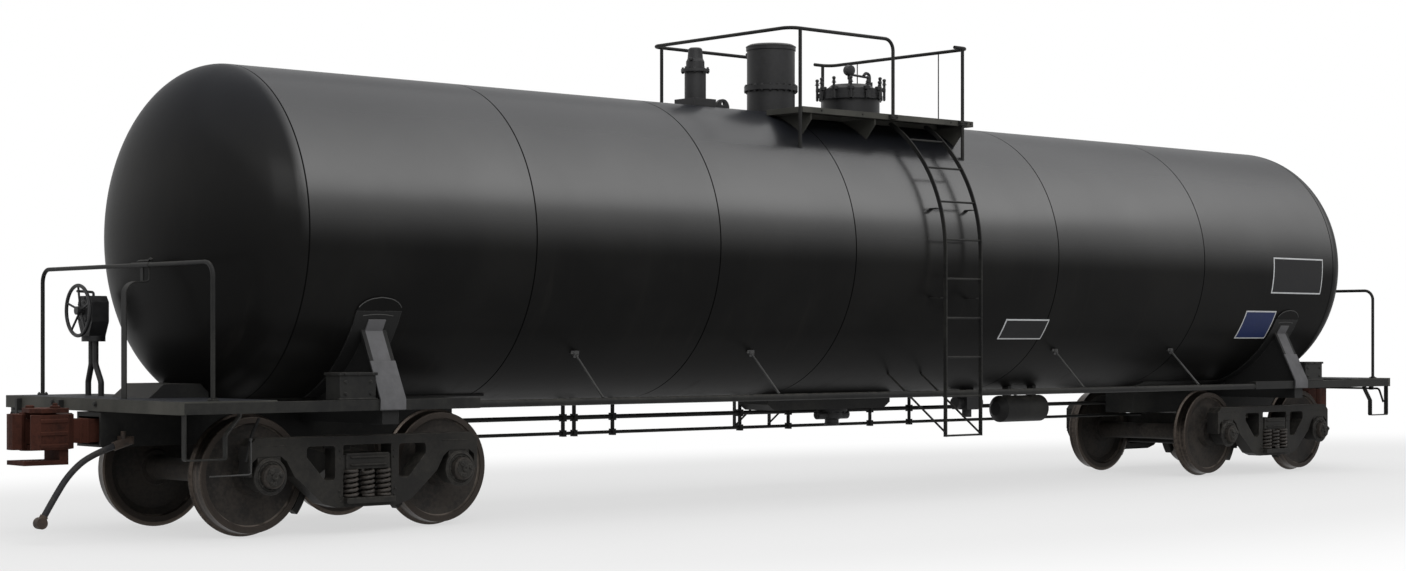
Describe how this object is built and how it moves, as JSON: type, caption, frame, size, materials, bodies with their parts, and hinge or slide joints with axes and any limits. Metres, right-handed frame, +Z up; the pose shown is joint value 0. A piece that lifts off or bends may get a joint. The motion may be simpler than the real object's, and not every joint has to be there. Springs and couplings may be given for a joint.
{
  "type": "railway tank car",
  "caption": "Black railway tank car on swivelling trucks with turning wheelsets, swinging couplers, ladders, a top platform, hinged manway cover and hand brake.",
  "frame": {"origin": "on the ground plane under the middle of the car, at the lowest point of the wheel flanges", "axes": "X runs along the car with the hand brake at -X, Y across it, Z up"},
  "size_m": [17.2, 3.024, 4.447],
  "materials": {
    "tank_black": "satin black paint",
    "frame_black": "dull black paint",
    "deck_grey": "worn non-skid paint",
    "saddle_grey": "faded grey-black paint",
    "truck_cast": "dusty cast steel",
    "wheel_steel": "worn brown steel",
    "spring_steel": "oily spring steel",
    "coupler_rust": "rusted cast steel",
    "fitting_black": "satin black paint",
    "hose_rubber": "dusty rubber",
    "hose_metal": "rusted cast iron"
  },
  "bodies": {
    "car_body": {"air_hose_a": "hose_rubber", "air_hose_b": "hose_rubber", "air_reservoir": "frame_black", "angle_cocks": "hose_metal", "body_bolster_a": "saddle_grey", "body_bolster_b": "saddle_grey", "bottom_outlet": "fitting_black", "brake_hangers": "frame_black", "brake_lines": "frame_black", "control_valve": "fitting_black", "end_handrail_a": "frame_black", "end_handrail_b": "frame_black", "end_platform_a": "deck_grey", "end_platform_b": "deck_grey", "hand_brake": "fitting_black", "hand_wheel": "fitting_black", "handrail_straps": "frame_black", "hose_fittings": "hose_metal", "ladders": "frame_black", "lifting_lug": "fitting_black", "manway_neck": "fitting_black", "outlet_skid": "frame_black", "rail_stays": "frame_black", "relief_valve": "fitting_black", "side_rails": "frame_black", "side_sills": "frame_black", "sill_steps": "frame_black", "stub_sill_a": "frame_black", "stub_sill_b": "frame_black", "tank_head_a": "tank_black", "tank_head_b": "tank_black", "tank_shell": "tank_black", "top_handrail": "frame_black", "top_platform": "deck_grey", "uncoupling_levers": "frame_black", "valve_housing": "fitting_black"},
    "truck_b": {"side_frames_b": "truck_cast", "truck_bolster_b": "truck_cast", "springs_b": "spring_steel", "bearings_b": "truck_cast", "brake_beams_b": "truck_cast"},
    "truck_a": {"side_frames_a": "truck_cast", "truck_bolster_a": "truck_cast", "springs_a": "spring_steel", "bearings_a": "truck_cast", "brake_beams_a": "truck_cast"},
    "wheelset_1": {"wheelset_1": "wheel_steel"},
    "wheelset_2": {"wheelset_2": "wheel_steel"},
    "wheelset_3": {"wheelset_3": "wheel_steel"},
    "wheelset_4": {"wheelset_4": "wheel_steel"},
    "coupler_b": {"coupler_b": "coupler_rust"},
    "knuckle_b": {"knuckle_b": "coupler_rust"},
    "coupler_a": {"coupler_a": "coupler_rust"},
    "knuckle_a": {"knuckle_a": "coupler_rust"},
    "housing_lid": {"housing_lid": "fitting_black"},
    "manway_cover": {"manway_cover": "fitting_black"}
  },
  "joints": [
    {"name": "truck_b_swivel", "type": "hinge", "parent": "car_body", "child": "truck_b", "pos_m": [-6.15, 0, 0.668], "axis": [0, 0, -1], "range_deg": [-8, 8]},
    {"name": "truck_a_swivel", "type": "hinge", "parent": "car_body", "child": "truck_a", "pos_m": [6.15, 0, 0.668], "axis": [0, 0, 1], "range_deg": [-8, 8]},
    {"name": "wheelset_1_spin", "type": "hinge", "parent": "truck_b", "child": "wheelset_1", "pos_m": [-7.039, 0, 0.4826], "axis": [0, 1, 0], "continuous": true},
    {"name": "wheelset_2_spin", "type": "hinge", "parent": "truck_b", "child": "wheelset_2", "pos_m": [-5.261, 0, 0.4826], "axis": [0, 1, 0], "continuous": true},
    {"name": "wheelset_3_spin", "type": "hinge", "parent": "truck_a", "child": "wheelset_3", "pos_m": [5.261, 0, 0.4826], "axis": [0, 1, 0], "continuous": true},
    {"name": "wheelset_4_spin", "type": "hinge", "parent": "truck_a", "child": "wheelset_4", "pos_m": [7.039, 0, 0.4826], "axis": [0, 1, 0], "continuous": true},
    {"name": "coupler_b_swing", "type": "hinge", "parent": "car_body", "child": "coupler_b", "pos_m": [-7.72, 0, 0.83], "axis": [0, 0, -1], "range_deg": [-7, 7]},
    {"name": "knuckle_b_open", "type": "hinge", "parent": "coupler_b", "child": "knuckle_b", "pos_m": [-8.42, 0.118, 0.83], "axis": [0, 0, -1], "range_deg": [0, 45]},
    {"name": "coupler_a_swing", "type": "hinge", "parent": "car_body", "child": "coupler_a", "pos_m": [7.72, 0, 0.83], "axis": [0, 0, 1], "range_deg": [-7, 7]},
    {"name": "knuckle_a_open", "type": "hinge", "parent": "coupler_a", "child": "knuckle_a", "pos_m": [8.42, -0.118, 0.83], "axis": [0, 0, -1], "range_deg": [0, 45]},
    {"name": "housing_lid_hinge", "type": "hinge", "parent": "car_body", "child": "housing_lid", "pos_m": [-0.74, 0.271, 4.338], "axis": [-1, 0, 0], "range_deg": [0, 110]},
    {"name": "manway_cover_hinge", "type": "hinge", "parent": "car_body", "child": "manway_cover", "pos_m": [0.37, 0.358, 4.016], "axis": [-1, 0, 0], "range_deg": [0, 110]}
  ]
}
